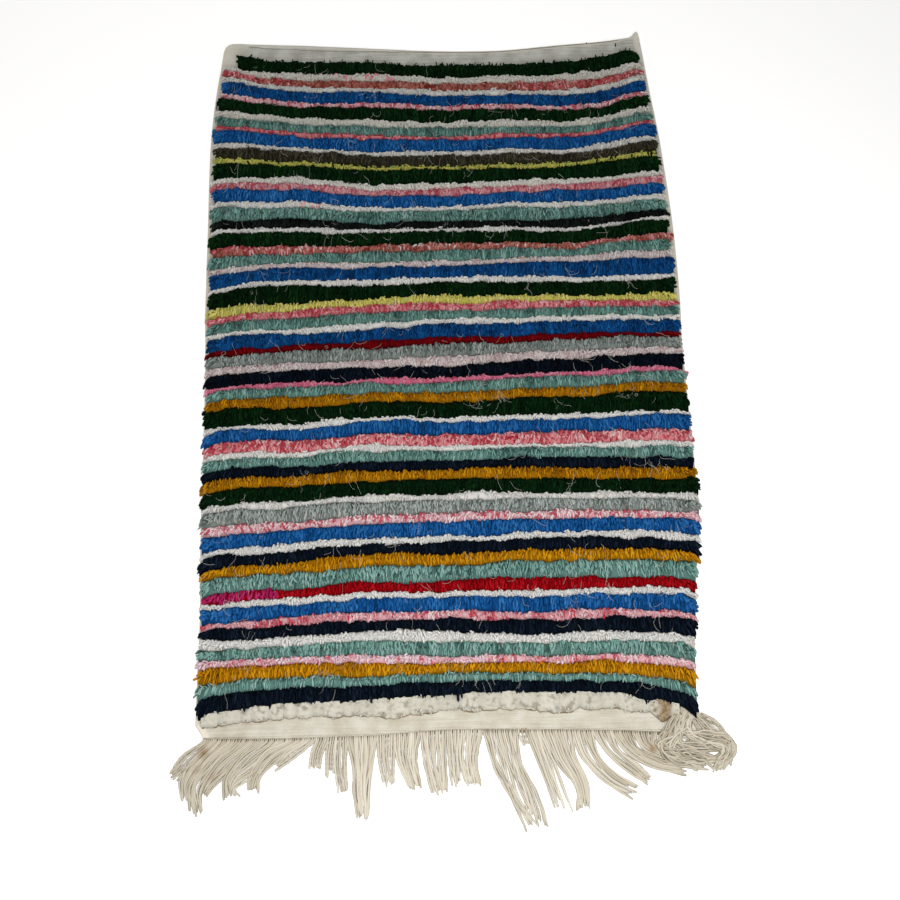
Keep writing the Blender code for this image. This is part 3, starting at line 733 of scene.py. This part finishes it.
def weaveMaterial():
    # undyed cotton warp under beaten wool weft: matt, with the weft's fine ribs across the rug,
    # greyer at the hem than at the foot, and dusty in patches
    material, tree, shader = startMaterial("cotton_weave", 0.92, 0.1)
    onRug = {"Vector": addNode(tree, "ShaderNodeTexCoord").outputs["Object"]}
    split = addNode(tree, "ShaderNodeSeparateXYZ", None, onRug)
    # at scale 1 the wave's bands lie 2 pi / 20 apart
    ribs = addNode(tree, "ShaderNodeTexWave",
                   {"bands_direction": "Y", "Scale": math.pi * 2 / (weave["ribPitch"] * mm) / 20,
                    "Distortion": 2.5, "Detail": 3.0, "Detail Scale": 2.0}, onRug)
    grain = addNode(tree, "ShaderNodeTexNoise",
                    {"Scale": 1 / (3 * mm), "Detail": 4.0, "Roughness": 0.7}, onRug)
    patches = addNode(tree, "ShaderNodeTexNoise", {"Scale": 1 / (30 * mm), "Detail": 4.0}, onRug)
    towardHem = addNode(tree, "ShaderNodeMapRange", {"From Min": -0.62, "From Max": 0.6},
                        {"Value": split.outputs["Y"]})
    clean, dusty = [
        addNode(tree, "ShaderNodeMix", {"data_type": "RGBA", "A": linear(atFoot), "B": linear(atHem)},
                {"Factor": towardHem.outputs["Result"]})
        for atFoot, atHem in (("#d0ccbf", "#cfcfc6"), ("#bab29f", "#a9a89d"))]
    drawn = addNode(tree, "ShaderNodeMapping", {"Scale": (1 / (90 * mm), 1 / (3 * mm), 1.0)}, onRug)
    streaks = addNode(tree, "ShaderNodeTexNoise", {"Scale": 1.0, "Detail": 3.0},
                      {"Vector": drawn.outputs["Vector"]})
    lined = addNode(tree, "ShaderNodeMath", {"operation": "MULTIPLY_ADD", 1: 0.6},
                    {0: streaks.outputs["Fac"], 2: patches.outputs["Fac"]})
    mixed = addNode(tree, "ShaderNodeMath", {"operation": "MULTIPLY_ADD", 1: 0.4},
                    {0: grain.outputs["Fac"], 2: lined.outputs[0]})
    wear = addNode(tree, "ShaderNodeMapRange", {"From Min": 0.8, "From Max": 1.2},
                   {"Value": mixed.outputs[0]})
    worn = addNode(tree, "ShaderNodeMix", {"data_type": "RGBA"},
                   {"Factor": wear.outputs["Result"], "A": clean.outputs["Result"],
                    "B": dusty.outputs["Result"]})
    fresh = addNode(tree, "ShaderNodeAttribute", {"attribute_name": "fresh"})
    creamy = addNode(tree, "ShaderNodeMix", {"data_type": "RGBA", "B": linear("#ece4d3")},
                     {"Factor": fresh.outputs["Fac"], "A": worn.outputs["Result"]})
    # the seam's thread is brown, and the warp's lip past the last weft is painted dark as shade
    darkening = addNode(tree, "ShaderNodeAttribute", {"attribute_name": "darkening"})
    darkened = addNode(tree, "ShaderNodeMix", {"data_type": "RGBA", "B": linear("#7b6a50")},
                      {"Factor": darkening.outputs["Fac"], "A": creamy.outputs["Result"]})
    tree.links.new(darkened.outputs["Result"], shader.inputs["Base Color"])
    relief = addNode(tree, "ShaderNodeMath", {"operation": "ADD"},
                     {0: ribs.outputs["Fac"], 1: grain.outputs["Fac"]})
    bump = addNode(tree, "ShaderNodeBump", {"Strength": 0.7, "Distance": 0.7 * mm},
                   {"Height": relief.outputs[0]})
    tree.links.new(bump.outputs["Normal"], shader.inputs["Normal"])
    return material


def makeWeave():
    # one closed sheet: its edge rolls at the hem, with a round left corner and an ear at the right
    rng = np.random.default_rng(weave["seed"])
    hem, roll = rugLines["hemEdge"], weave["rollWidth"]
    ys = np.concatenate([
        hem - np.array([0, 0.25, 0.5, 0.75, 1.0]) * roll,
        np.linspace(hem - roll - 3, weave["evenTo"], weave["evenRows"]),
        weave["footRows"], [rugLines["weaveFoot"]],
        rugLines["weaveFoot"] - np.array([0.02, 0.5, 1.0]) * weave["lip"]])
    fromEnd = np.array(weave["fromEnd"])
    columns, rows = weave["columns"], len(ys)
    tops, darkened, freshness = [], [], []
    for y in ys:
        inset = weave["weaveInset"] + weave["lowInset"] * min(max((100 - y) / 100, 0), 1)
        left = float(sideX(y, "left")) + inset
        left += weave["footCorner"] * max(0.0, weave["footCornerFrom"] - y)
        right = float(sideX(y, "right")) - inset
        between = np.linspace(left + weave["evenFrom"], right - weave["evenFrom"], columns - 2 * len(fromEnd))
        xs = np.concatenate([left + fromEnd, between, right - fromEnd[::-1]])
        line = rowY(y, xs)
        into = max(0.0, 1 - (hem - y) / (2 * roll))
        ends = np.clip(1 - (xs - left) / weave["leftRound"], 0, 1)
        line -= weave["leftRound"] * (1 - np.sqrt(1 - ends ** 2)) * into
        ear = np.clip(1 - (right - weave["earInset"] - xs) / weave["earWidth"], 0, 1) ** 1.6
        line += weave["rightEar"] * ear * into
        line[-2:] -= np.array(weave["earTip"]) * into
        zs = np.full(columns, weave["thickness"])
        if y > hem - roll:
            rolled = math.sin(math.pi * (0.25 + 0.75 * (hem - y) / roll))
            zs += (weave["rollHeight"] - weave["thickness"]) * rolled
        zs[1:-1] += rng.normal(0, weave["unevenness"], columns - 2)
        if y < rugLines["weaveFoot"]:
            zs[:] = weave["lipHeight"]
            line += rng.normal(0, weave["lipRag"], columns)
        elif y < weave["thinFrom"]:
            zs -= weave["thinBy"] * (weave["thinFrom"] - y) / weave["thinRun"]
            line[1:-1] += rng.normal(0, weave["footRag"], columns - 2)
        elif y < hem - 2 * roll:
            zs[[1, 2, -3, -2]] += weave["selvedge"]
        tops.append(np.stack([xs, line, zs], 1))
        # painted shade on the lip under the strands
        darkened.append(np.full(columns, weave["lipPaintedShade"] if y < rugLines["weaveFoot"] else 0.0))
        corner = weave["cornerFresh"] * np.clip(1 - (xs - left) / weave["cornerWidth"], 0, 1)
        fromSide = np.minimum(xs - left, right - xs) - weave["selvedgeWidth"]
        selvedge = weave["selvedgeFresh"] * np.clip(1 - fromSide / weave["selvedgeFade"], 0, 1)
        rollTop = np.full(columns, weave["rollFresh"] * (y > hem - 0.6 * roll))
        freshness.append(np.maximum.reduce([corner * (y > weave["cornerFrom"]), selvedge, rollTop]))
    top = np.concatenate(tops)
    under = top.copy()
    under[:, 2] = weave["underside"]
    count = len(top)
    faces = []
    for r in range(rows - 1):
        for c in range(columns - 1):
            a = r * columns + c
            quad = (a, a + columns, a + columns + 1, a + 1)
            faces.append(quad)
            faces.append(tuple(i + count for i in reversed(quad)))
    rim = ([c for c in range(columns)] + [r * columns + columns - 1 for r in range(1, rows)]
           + [(rows - 1) * columns + c for c in range(columns - 2, -1, -1)]
           + [r * columns for r in range(rows - 2, 0, -1)])
    for a, b in zip(rim, rim[1:] + rim[:1]):
        faces.append((a, b, b + count, a + count))
    seam, seamFaces = hemSeam(rng)
    points, faces = joinParts([(np.concatenate([top, under]), faces), (seam, seamFaces)])
    darkened = np.concatenate(darkened + [np.zeros(count), np.full(len(seam), weave["seamStain"])])
    freshness = np.concatenate(freshness + [np.zeros(count + len(seam))])
    piece = buildMesh("groundWeave", points, faces, weaveMaterial(), {"darkening": darkened, "fresh": freshness})
    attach(piece, "root")
    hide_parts("woven_rug")
    return piece


def hemSeam(rng):
    # the brown thread that holds the hem down, close under its upper edge
    places, depths = zip(*weave["seamDepth"])
    xs = np.linspace(places[0], places[-1], weave["seamSections"])
    edge = rowY(rugLines["hemEdge"], xs)
    ys = edge - smoothRead(places, depths, xs) + rng.normal(0, weave["seamRag"], len(xs))
    rolled = np.sin(np.pi * (0.25 + 0.75 * np.clip((edge - ys) / weave["rollWidth"], 0, 1)))
    zs = weave["thickness"] + weave["seamOver"] + (weave["rollHeight"] - weave["thickness"]) * rolled
    return tube(np.stack([xs, ys, zs], 1), np.full(len(xs), weave["seamRadius"]), 4)


groundWeave = makeWeave()
print("ground weave done")


# bundles of warp ends, in mm: strands, where they leave the weave, and then the places that the
# bundle passes, each with its width, down to its tips
bundles = [
    (9, -371, -351, [(-391, -674, 24), (-411, -696, 18)]),
    (8, -358, -333, [(-379, -681, 21), (-393, -707, 18), (-391, -731, 15)]),
    (10, -336, -307, [(-355, -679, 24), (-377, -714, 19), (-375, -747, 18)]),
    (10, -310, -282, [(-335, -682, 24), (-358, -706, 18), (-365, -722, 15)]),
    (16, -285, -239, [(-299, -680, 36), (-324, -705, 24), (-323, -725, 21)]),
    (9, -242, -218, [(-267, -672, 21), (-288, -698, 20), (-292, -719, 21)]),
    (6, -219, -201, [(-238, -667, 17), (-260, -684, 14)]),
    (6, -199, -181, [(-196, -666, 17), (-200, -690, 14)]),
    (4, -181, -169, [(-178, -671, 12), (-179, -699, 11)]),
    (6, -168, -151, [(-161, -682, 17), (-157, -722, 13)]),
    (15, -151, -107, [(-128, -680, 34), (-129, -723, 25), (-127, -760, 15)]),
    (8, -105, -81, [(-93, -678, 23), (-90, -712, 18)]),
    (13, -79, -41, [(-61, -677, 32), (-50, -719, 20)]),
    (13, -40, -2, [(-19, -682, 32), (-13, -724, 22)]),
    (6, 0, 16, [(9, -683, 15), (13, -715, 12)]),
    (12, 18, 53, [(31, -680, 30), (38, -717, 19)]),
    (17, 56, 106, [(90, -685, 46), (107, -731, 40), (125, -774, 30)]),
    (3, 109, 120, [(115, -653, 9), (119, -662, 8)]),
    (9, 121, 146, [(148, -690, 22), (170, -757, 21)]),
    (14, 147, 190, [(178, -682, 33), (199, -721, 20), (201, -753, 18)]),
    (10, 191, 220, [(215, -679, 26), (243, -713, 18), (277, -735, 16)]),
    (10, 222, 251, [(249, -674, 21), (280, -702, 17), (298, -717, 12)]),
    (10, 252, 281, [(279, -672, 21), (316, -694, 15), (352, -704, 12)]),
    (10, 283, 318, [(304, -666, 24), (344, -688, 17), (388, -699, 12)]),
]
# the tangle at the right corner: ends that sweep out from the row's end and loop back
cornerTangle = [
    (9, 354, 368, [(343, -649, 18), (321, -671, 14), (344, -687, 14), (385, -695, 14)]),
    (9, 360, 376, [(347, -648, 18), (333, -673, 14), (365, -686, 16), (406, -695, 14)]),
    (9, 356, 372, [(355, -635, 18), (328, -658, 14), (333, -679, 12), (378, -703, 12)]),
    (9, 358, 374, [(348, -644, 20), (350, -664, 14), (380, -672, 16), (418, -676, 14)]),
    (9, 366, 382, [(355, -648, 16), (388, -660, 16), (422, -666, 14), (427, -683, 12), (403, -701, 12)]),
    (8, 368, 384, [(366, -644, 16), (380, -662, 14), (415, -675, 14), (397, -697, 12)]),
    (7, 372, 388, [(398, -642, 20), (424, -658, 12), (430, -678, 8), (414, -703, 10)]),
    (6, 368, 386, [(388, -640, 14), (412, -655, 12), (430, -669, 8), (420, -694, 10)]),
]
# where the cotton is stained: x, y, radius and depth of colour
stains = [
    (-368, -664, 8, 0.8), (-376, -688, 6, 0.5), (310, -675, 6, 0.9), (118, -642, 6, 0.6),
    (-352, -700, 7, 0.4),
]

fringe = {
    # in mm
    "radius": 1.85, "radiusShares": (0.85, 1.1), "rootShare": 0.45, "tipShare": 0.7,
    "sides": 6, "plyDepth": 0.16, "twistPitch": 7.0,
    "ragged": 0.1, "restHeight": 2.4, "bendStart": 20,
    "rootJitter": 0.7, "rootInside": 2.0, "rootHeight": 1.3, "rootOutside": 4,
    # the tangle's ends leave the weave under the last row, further down toward the right
    "tangleRootY": -604, "tangleRootX": 350, "tangleRootSlope": 0.5,
    "rootShade": 8.0,       # over this length painted shade darkens the strands' sides as they come out of the weave
    "tone": (0.5, 0.1), "toneRange": (0.3, 0.75),
    # strands further than this from the middle are dirtier, up to "dusty" darker after that run
    "dustyFrom": 180.0, "dustyRun": 120, "dusty": 0.16,
    "seed": 5,
}
# how strands lie: spread is a share of the bundle's width that a strand drifts at each place
strandHabits = {
    "bundle": {"spread": 0.04, "pileUp": 3.5, "sections": 18, "bendLength": (9, 16), "bendSize": (0.2, 0.8),
               "bendAxes": (0,)},
    "tangle": {"spread": 0.16, "pileUp": 8.0, "sections": 26, "bendLength": (4, 7), "bendSize": (0.8, 2.0),
               "bendAxes": (0, 1)},
}


def warpMaterial():
    # plied undyed cotton: matt cream and dusty, with painted shade down its sides and where the plies meet
    # and a painted highlight along its top
    material, tree, shader = startMaterial("cotton_warp_yarn", 0.85, 0.1)
    onRug = {"Vector": addNode(tree, "ShaderNodeTexCoord").outputs["Object"]}
    tone = addNode(tree, "ShaderNodeAttribute", {"attribute_name": "tone"})
    fibre = addNode(tree, "ShaderNodeTexNoise", {"Scale": 1 / (1.5 * mm), "Detail": 3.0}, onRug)
    mixed = addNode(tree, "ShaderNodeMath", {"operation": "MULTIPLY_ADD", 1: 0.3},
                    {0: fibre.outputs["Fac"], 2: tone.outputs["Fac"]})
    ramp = addNode(tree, "ShaderNodeValToRGB", None, {"Fac": mixed.outputs[0]})
    fillRamp(ramp, [(0.0, "#504530"), (0.2, "#857a62"), (0.5, "#b7ae9b"), (1.0, "#dbd4c4")])
    darkening = addNode(tree, "ShaderNodeAttribute", {"attribute_name": "darkening"})
    darkened = addNode(tree, "ShaderNodeMix", {"data_type": "RGBA", "B": linear("#86683f")},
                      {"Factor": darkening.outputs["Fac"], "A": ramp.outputs["Color"]})
    tree.links.new(darkened.outputs["Result"], shader.inputs["Base Color"])
    bump = addNode(tree, "ShaderNodeBump", {"Strength": 0.4, "Distance": 0.3 * mm},
                   {"Height": fibre.outputs["Fac"]})
    tree.links.new(bump.outputs["Normal"], shader.inputs["Normal"])
    return material


def twistedYarn(path, radius):
    # a two-ply yarn along the path: an eight-shaped section that turns as it goes
    sides = fringe["sides"]
    across, up = directions(path)
    run = np.concatenate([[0], np.cumsum(np.linalg.norm(np.diff(path, axis=0), axis=1))])
    turn = run / fringe["twistPitch"] * math.pi
    angles = np.arange(sides) * 2 * math.pi / sides
    lobes = 1 + fringe["plyDepth"] * np.cos(2 * (angles[None, :] - turn[:, None]))
    size = radius[:, None] * lobes
    points = (path[:, None] + (np.cos(angles) * size)[..., None] * across[:, None]
              + (np.sin(angles) * size)[..., None] * up[:, None])
    # painted light: a painted highlight along its top, painted shade down its sides and in the groove between
    # the plies
    tones = np.sin(angles)[None, :] * 0.4 - 0.25 + 0.5 * (lobes - 1)
    # painted shade on the sides near the root, where the strands leave the weave
    tones = tones - 0.5 * np.exp(-run / fringe["rootShade"])[:, None] * (1 - np.sin(angles)[None, :])
    return points.reshape(-1, 3), ringFaces(len(path), sides), tones.ravel()


def footEdge(x):
    return float(rowY(rugLines["weaveFoot"], np.array([x]))[0])


def strandPath(rng, share, roots, places, habit):
    # a flowing line from the root past each place; neighbours drift across each other on the way
    points = list(roots)
    for k, (x, y, width) in enumerate(places):
        aside = np.clip(share + rng.normal(0, habit["spread"] * (k + 1)), -0.15, 1.15) - 0.5
        heading = np.array([x - points[-1][0], y - points[-1][1]])
        heading /= np.linalg.norm(heading)
        # the bundle's width lies across the way it runs
        across = np.array([-heading[1], heading[0]])
        if across[0] < 0:
            across = -across
        points.append(np.array([x + across[0] * width * aside, y + across[1] * width * aside,
                                fringe["restHeight"] + rng.uniform(0, habit["pileUp"])]))
    points[-1][:2] += (points[-1][:2] - points[-2][:2]) * rng.normal(0, fringe["ragged"])
    points[-1][2] = fringe["restHeight"]
    knots = np.concatenate([[0], np.cumsum([np.linalg.norm(b - a) for a, b in zip(points, points[1:])])])
    at = np.linspace(0, knots[-1], habit["sections"])
    path = smoothRead(knots, np.array(points), at)
    bendLength, bendSize = rng.uniform(*habit["bendLength"]), rng.uniform(*habit["bendSize"])
    for axis in habit["bendAxes"]:
        bend = np.sin(at / bendLength + rng.uniform(0, 6))
        path[:, axis] += bend * np.minimum(at / fringe["bendStart"], 1) * bendSize
    path[1:, 2] = np.maximum(path[1:, 2], fringe["restHeight"])
    return path


def makeFringe():
    rng = np.random.default_rng(fringe["seed"])
    parts, tones, strands = [], [], []
    for number, rootFrom, rootTo, places in bundles:
        for i in range(number):
            share = i / (number - 1)
            x = rootFrom + (rootTo - rootFrom) * share
            x += rng.uniform(-fringe["rootJitter"], fringe["rootJitter"])
            edge = footEdge(x)
            inside = np.array([x, edge + fringe["rootInside"], fringe["rootHeight"]])
            aside = x + rng.uniform(-0.4, 0.4)
            outside = np.array([aside, edge - fringe["rootOutside"], fringe["restHeight"]])
            strands.append((share, [inside, outside], places, strandHabits["bundle"]))
    for number, rootFrom, rootTo, places in cornerTangle:
        for i in range(number):
            share = i / (number - 1)
            x = rootFrom + (rootTo - rootFrom) * share
            y = fringe["tangleRootY"] - fringe["tangleRootSlope"] * (x - fringe["tangleRootX"])
            roots = [np.array([x, y + rng.uniform(-3, 3), rng.uniform(4.0, 7.0)])]
            strands.append((share, roots, places, strandHabits["tangle"]))
    for share, roots, places, habit in strands:
        path = strandPath(rng, share, roots, places, habit)
        radius = np.full(len(path), fringe["radius"] * rng.uniform(*fringe["radiusShares"]))
        radius[-1] *= fringe["tipShare"]
        radius[0] *= fringe["rootShare"]
        yarnPoints, yarnFaces, paintedLightTones = twistedYarn(path, radius)
        parts.append((yarnPoints, yarnFaces))
        fromMiddle = np.abs(np.repeat(path[:, 0], fringe["sides"]))
        dusty = fringe["dusty"] * np.clip((fromMiddle - fringe["dustyFrom"]) / fringe["dustyRun"], 0, 1)
        tones.append(paintedLightTones + np.clip(rng.normal(*fringe["tone"]), *fringe["toneRange"]) - dusty)
    points, faces = joinParts(parts)
    darkened = np.zeros(len(points))
    for x, y, radius, depth in stains:
        away = np.hypot(points[:, 0] - x, points[:, 1] - y) / radius
        darkened = np.maximum(darkened, depth * np.exp(-away ** 2))
    piece = buildMesh("warpFringe", points, faces, warpMaterial(),
                      {"tone": np.concatenate(tones), "darkening": darkened})
    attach(piece, "root")
    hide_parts("fringe")
    return piece


warpFringe = makeFringe()
print("fringe done")


threads = {
    # in mm; each knot holds one thread or more, with "each" as their mean number
    "knots": 430, "each": 1.7, "overX": (-375, 385), "overY": (-585, 600), "knotSpread": 8,
    "radius": 0.17, "radiusShares": (0.7, 1.3), "sections": 9, "sides": 3, "startHeight": 20.9,
    "length": (12, 40), "straight": 0.28, "wander": 1.2,
    "curl": 0.6, "tightCurl": 3.0, "slackShare": 0.85,      # most threads curl little
    "risingSteps": 3, "rising": (0.3, 0.8), "swaying": (-0.3, 0.25),
    # dark wool hairs that stand up: row number and count, over which x and how straight
    "darkRows": [(20, 100), (14, 50), (22, 60), (6, 30)], "hairsOverX": (-330, 380), "hairsStraight": 0.5,
    "hairStart": 4, "seed": 23,
}


def threadMaterial():
    # loose ends of bleached cotton thread, thin and matt, and some of dark wool
    material, tree, shader = startMaterial("cotton_stray", 0.8, 0.0)
    tone = addNode(tree, "ShaderNodeAttribute", {"attribute_name": "tone"})
    colour = addNode(tree, "ShaderNodeMix",
                     {"data_type": "RGBA", "A": linear("#0b1710"), "B": linear("#cbc8bd")},
                     {"Factor": tone.outputs["Fac"]})
    tree.links.new(colour.outputs["Result"], shader.inputs["Base Color"])
    return material


def threadPath(rng, start, heading):
    sections = threads["sections"]
    length = rng.uniform(*threads["length"])
    curl = rng.normal(0, threads["curl" if rng.random() < threads["slackShare"] else "tightCurl"])
    path = [np.array(start)]
    for step in range(sections - 1):
        heading += (curl + rng.normal(0, threads["wander"])) / sections * 2
        rise = rng.uniform(*threads["rising" if step < threads["risingSteps"] else "swaying"])
        stride = length / sections
        path.append(path[-1] + np.array([math.cos(heading) * stride, math.sin(heading) * stride, rise]))
    return np.array(path)


def makeThreads():
    rng = np.random.default_rng(threads["seed"])
    paths = []
    for knot in range(threads["knots"]):
        knotX, knotY = rng.uniform(*threads["overX"]), rng.uniform(*threads["overY"])
        for end in range(1 + rng.poisson(threads["each"] - 1)):
            startX = knotX + rng.normal(0, threads["knotSpread"])
            startY = knotY + rng.normal(0, threads["knotSpread"])
            start = (startX, startY, threads["startHeight"])
            paths.append((threadPath(rng, start, rng.normal(-math.pi / 2, threads["straight"])), 1.0))
    widths = np.cumsum([width for yarn, width in pileRows])
    pileLength = rugLines["pileHead"] - rugLines["pileFoot"]
    for row, hairs in threads["darkRows"]:
        rowHead = rugLines["pileHead"] - widths[row - 1] * pileLength / widths[-1]
        for x in rng.uniform(*threads["hairsOverX"], hairs):
            start = (x, float(rowY(rowHead, np.array([x]))[0]) - threads["hairStart"], threads["startHeight"])
            paths.append((threadPath(rng, start, rng.normal(math.pi / 2, threads["hairsStraight"])), 0.0))
    parts, tones = [], []
    for path, tone in paths:
        radius = np.full(len(path), threads["radius"] * rng.uniform(0.7, 1.3))
        parts.append(tube(path, radius, threads["sides"]))
        tones.append(np.full(len(parts[-1][0]), tone))
    points, faces = joinParts(parts)
    piece = buildMesh("strayThreads", points, faces, threadMaterial(), {"tone": np.concatenate(tones)})
    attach(piece, "root")
    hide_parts("woven_rug")
    return piece


strayThreads = makeThreads()
print("stray threads done")


studio = {
    # in metres and degrees, the lens and its sensor in mm
    "floor": "#fbfaf8", "floorSize": 12, "floorZ": -0.0005, "floorGlow": 0.36, "worldStrength": 0.34,
    "cameraHeight": 1.72, "cameraY": -0.8242, "tiltUp": 20.45, "turn": -1.35, "lens": 44, "sensorWidth": 36,
    # where each light stands, the y on the floor that it aims at, its size and its power in watts
    "lights": {"footLight": ((0.1, -0.85, 1.2), -0.6, 0.9, 16), "hemLight": ((-0.7, 1.3, 2.5), 0, 1.6, 12)},
}


def makeStudio():
    scene = bpy.context.scene
    bpy.ops.mesh.primitive_plane_add(size=studio["floorSize"], location=(0, 0, studio["floorZ"]))
    floor = bpy.context.object
    floor.name = "paleFloor"
    material, tree, shader = startMaterial("studio_floor", 0.9, 0.0)
    shader.inputs["Base Color"].default_value = linear(studio["floor"])
    shader.inputs["Emission Color"].default_value = linear("#ffffff")
    shader.inputs["Emission Strength"].default_value = studio["floorGlow"]
    floor.data.materials.append(material)
    world = bpy.data.worlds.new("studio")
    scene.world = world
    world.use_nodes = True
    background = world.node_tree.nodes["Background"]
    background.inputs["Color"].default_value = linear("#ffffff")
    background.inputs["Strength"].default_value = studio["worldStrength"]
    for name, (place, aimY, size, power) in studio["lights"].items():
        light = bpy.data.lights.new(name, "AREA")
        light.size = size
        light.energy = power
        lamp = bpy.data.objects.new(name, light)
        lamp.location = place
        aim = mathutils.Vector((0, aimY, 0)) - lamp.location
        lamp.rotation_euler = aim.to_track_quat("-Z", "Y").to_euler()
        scene.collection.objects.link(lamp)
    camera = bpy.data.cameras.new("photoCamera")
    camera.lens = studio["lens"]
    camera.sensor_width = studio["sensorWidth"]
    cameraObject = bpy.data.objects.new("photoCamera", camera)
    cameraObject.location = (0, studio["cameraY"], studio["cameraHeight"])
    cameraObject.rotation_euler = (math.radians(studio["tiltUp"]), 0, math.radians(studio["turn"]))
    scene.collection.objects.link(cameraObject)
    scene.camera = cameraObject
    scene.view_settings.view_transform = "Standard"


makeStudio()
print("studio done")
